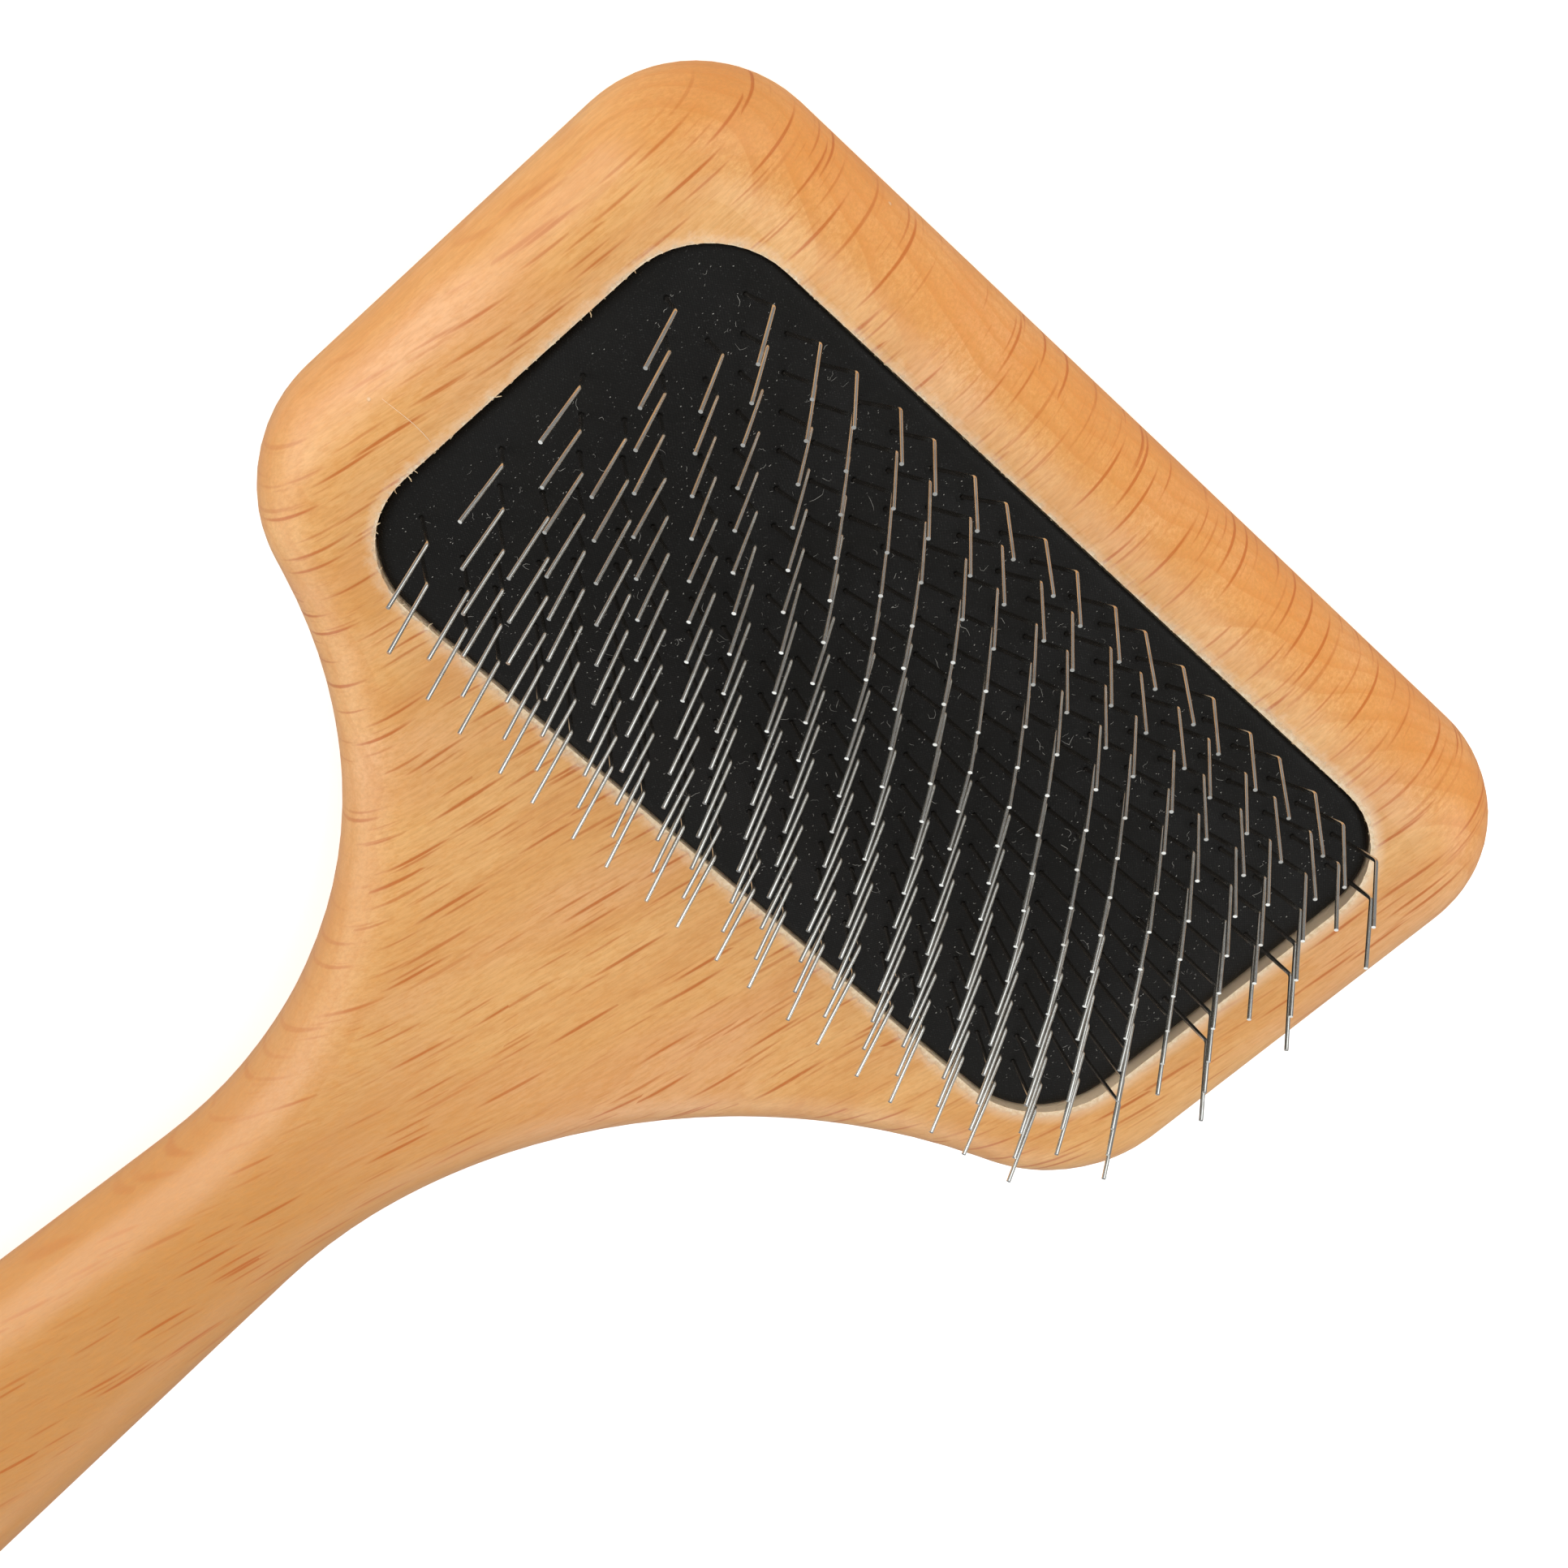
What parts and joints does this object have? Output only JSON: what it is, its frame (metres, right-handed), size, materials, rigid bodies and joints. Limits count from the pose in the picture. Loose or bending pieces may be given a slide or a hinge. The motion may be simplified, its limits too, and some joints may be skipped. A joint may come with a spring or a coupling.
{
  "type": "slicker brush",
  "caption": "Wooden grooming brush with a sprung, domed cushion of staggered bent wire pins set in a pocket across its wide head.",
  "frame": {"origin": "on the flat back face of the head, under the middle of the pocket", "axes": "+X from the handle to the head's far edge, +Y across the head, +Z out of the face, the way the pins stand"},
  "size_m": [0.2071, 0.113, 0.0347],
  "materials": {
    "beech": "clear satin lacquer over beech with short brown flecks",
    "facing_cloth": "fine black weave, matt",
    "canvas": "plain unbleached canvas",
    "foam": "open-cell foam",
    "pin_wire": "bright drawn steel wire, cut flat at the tips"
  },
  "bodies": {
    "handle": {"wooden_body": "beech", "foam_cushion": "foam"},
    "pad": {"woven_facing": "facing_cloth", "canvas_foundation": "canvas", "staple_row_01": "pin_wire", "staple_row_02": "pin_wire", "staple_row_03": "pin_wire", "staple_row_04": "pin_wire", "staple_row_05": "pin_wire", "staple_row_06": "pin_wire", "staple_row_07": "pin_wire", "staple_row_08": "pin_wire", "staple_row_09": "pin_wire", "staple_row_10": "pin_wire", "staple_row_11": "pin_wire", "staple_row_12": "pin_wire", "staple_row_13": "pin_wire", "staple_row_14": "pin_wire", "staple_row_15": "pin_wire", "staple_row_16": "pin_wire"}
  },
  "joints": [
    {"name": "cushion_press", "type": "slide", "parent": "handle", "child": "pad", "axis": [0, 0, -1], "range_m": [0, 0.002], "stiffness_N_per_m": 3000, "deforming": ["foam_cushion"]}
  ]
}
